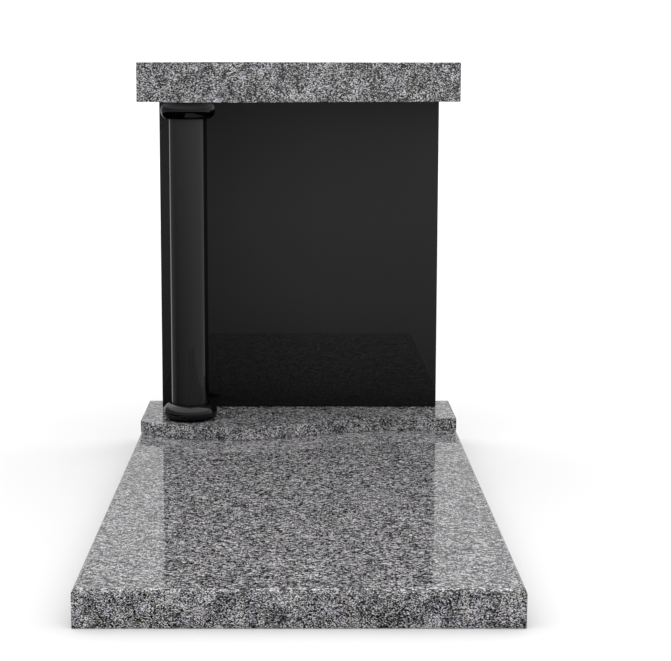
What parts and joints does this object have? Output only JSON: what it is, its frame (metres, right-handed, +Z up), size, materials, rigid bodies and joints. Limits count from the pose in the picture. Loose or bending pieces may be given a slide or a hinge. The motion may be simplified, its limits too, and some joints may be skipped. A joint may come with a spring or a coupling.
{
  "type": "granite grave monument",
  "caption": "Polished granite grave monument: a flat ledger slab with a waved base, an upright headstone, a round column and a waved cap slab at its head.",
  "frame": {"origin": "on the ground, in the middle of the ledger's underside", "axes": "+Z up, the front of the monument faces -Y, +Y runs along the grave to the headstone's back, +X to the right"},
  "size_m": [0.9, 1.8, 1.1169],
  "materials": {
    "grey_granite": "polished speckled grey granite",
    "black_granite": "mirror-polished black granite"
  },
  "bodies": {
    "root": {"ledger": "grey_granite", "base": "grey_granite", "headstone": "black_granite", "column": "black_granite", "cap": "grey_granite"}
  },
  "joints": []
}
